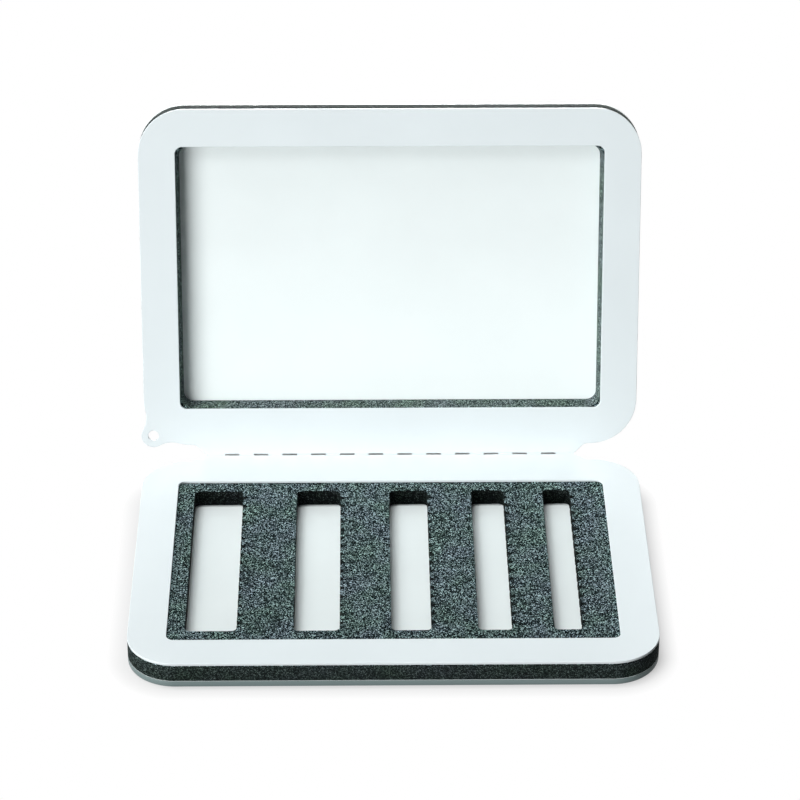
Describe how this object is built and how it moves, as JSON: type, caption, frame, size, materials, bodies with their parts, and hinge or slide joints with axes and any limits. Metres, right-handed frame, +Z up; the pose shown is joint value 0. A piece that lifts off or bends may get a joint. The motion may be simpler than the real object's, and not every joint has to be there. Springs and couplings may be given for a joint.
{
  "type": "fly box",
  "caption": "Slim foam-lined fly box: a base with slitted foam bars between pockets, a tray lid on a living hinge, and a lanyard eye.",
  "frame": {"origin": "centre of the base panel's underside", "axes": "+X along the hinge to the user's right, +Y from the front edge to the hinge, +Z up, with the base lying flat and the lid standing open"},
  "size_m": [0.151, 0.142, 0.1125],
  "materials": {
    "outer_panel": "satin",
    "face_sheet": "matte",
    "foam": "matte",
    "adhesive_film": "satin",
    "magnet": "satin"
  },
  "bodies": {
    "base": {"base_panel": "outer_panel", "base_panel_film": "adhesive_film", "base_foam": "foam", "base_sheet_film": "adhesive_film", "base_sheet": "face_sheet", "hinge_bridges": "face_sheet", "base_magnet_left": "magnet", "base_magnet_right": "magnet"},
    "lid": {"lid_panel": "outer_panel", "lid_panel_film": "adhesive_film", "lid_foam": "foam", "lid_sheet_film": "adhesive_film", "lid_sheet": "face_sheet", "lid_magnet_left": "magnet", "lid_magnet_right": "magnet"}
  },
  "joints": [
    {"name": "lid_hinge", "type": "hinge", "parent": "base", "child": "lid", "pos_m": [0, 0.05545, 0.0081], "axis": [1, 0, 0], "range_deg": [-75.8, 104.2], "deforming": ["hinge_bridges"]}
  ]
}
